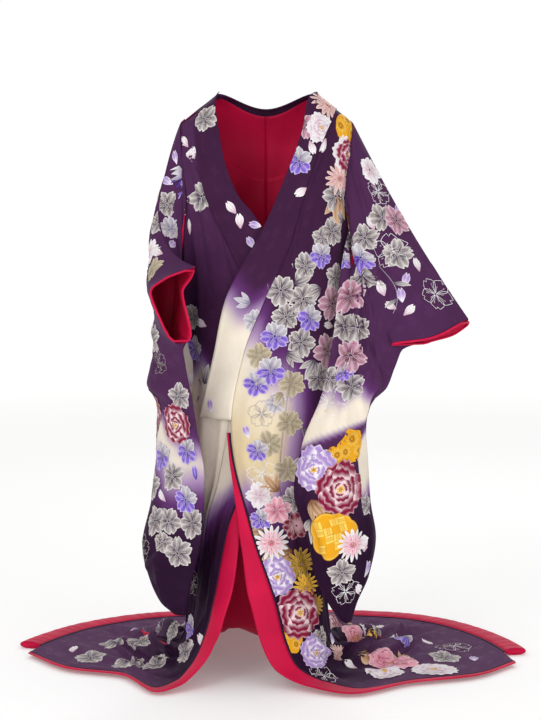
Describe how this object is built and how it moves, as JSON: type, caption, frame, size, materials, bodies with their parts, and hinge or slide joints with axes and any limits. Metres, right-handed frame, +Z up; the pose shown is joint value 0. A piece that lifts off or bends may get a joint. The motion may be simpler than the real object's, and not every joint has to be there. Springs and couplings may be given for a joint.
{
  "type": "wedding kimono",
  "caption": "Trailing long-sleeved outer robe for a wedding, worn open: plum satin with blossom and peony embroidery, crimson lining and a padded hem.",
  "frame": {"origin": "on the line of the shoulders, midway between them, where the wearer carries the robe; the floor is 1.38 m below", "axes": "+X towards the wearer's left, -Y to the wearer's front, +Z up"},
  "size_m": [1.2683, 0.8841, 1.38],
  "materials": {
    "plum_satin": "satin",
    "crimson_lining": "satin",
    "black_piping": "satin"
  },
  "bodies": {
    "root": {"front_left": "plum_satin", "front_right": "plum_satin", "okumi_left": "plum_satin", "okumi_right": "plum_satin", "back_left": "plum_satin", "back_right": "plum_satin", "collar_left": "plum_satin", "collar_right": "plum_satin", "sleeve_front_left": "plum_satin", "sleeve_front_right": "plum_satin", "sleeve_back_left": "plum_satin", "sleeve_back_right": "plum_satin", "lining_left": "crimson_lining", "lining_right": "crimson_lining", "front_band_left": "crimson_lining", "front_band_right": "crimson_lining", "hem_band_left": "crimson_lining", "hem_band_right": "crimson_lining", "cuff_lining_front_left": "crimson_lining", "cuff_lining_front_right": "crimson_lining", "cuff_lining_back_left": "crimson_lining", "cuff_lining_back_right": "crimson_lining", "cuff_roll_left": "crimson_lining", "cuff_roll_right": "crimson_lining", "front_piping_left": "black_piping", "front_piping_right": "black_piping", "hem_piping_left": "black_piping", "hem_piping_right": "black_piping", "collar_back": "plum_satin"}
  },
  "joints": []
}
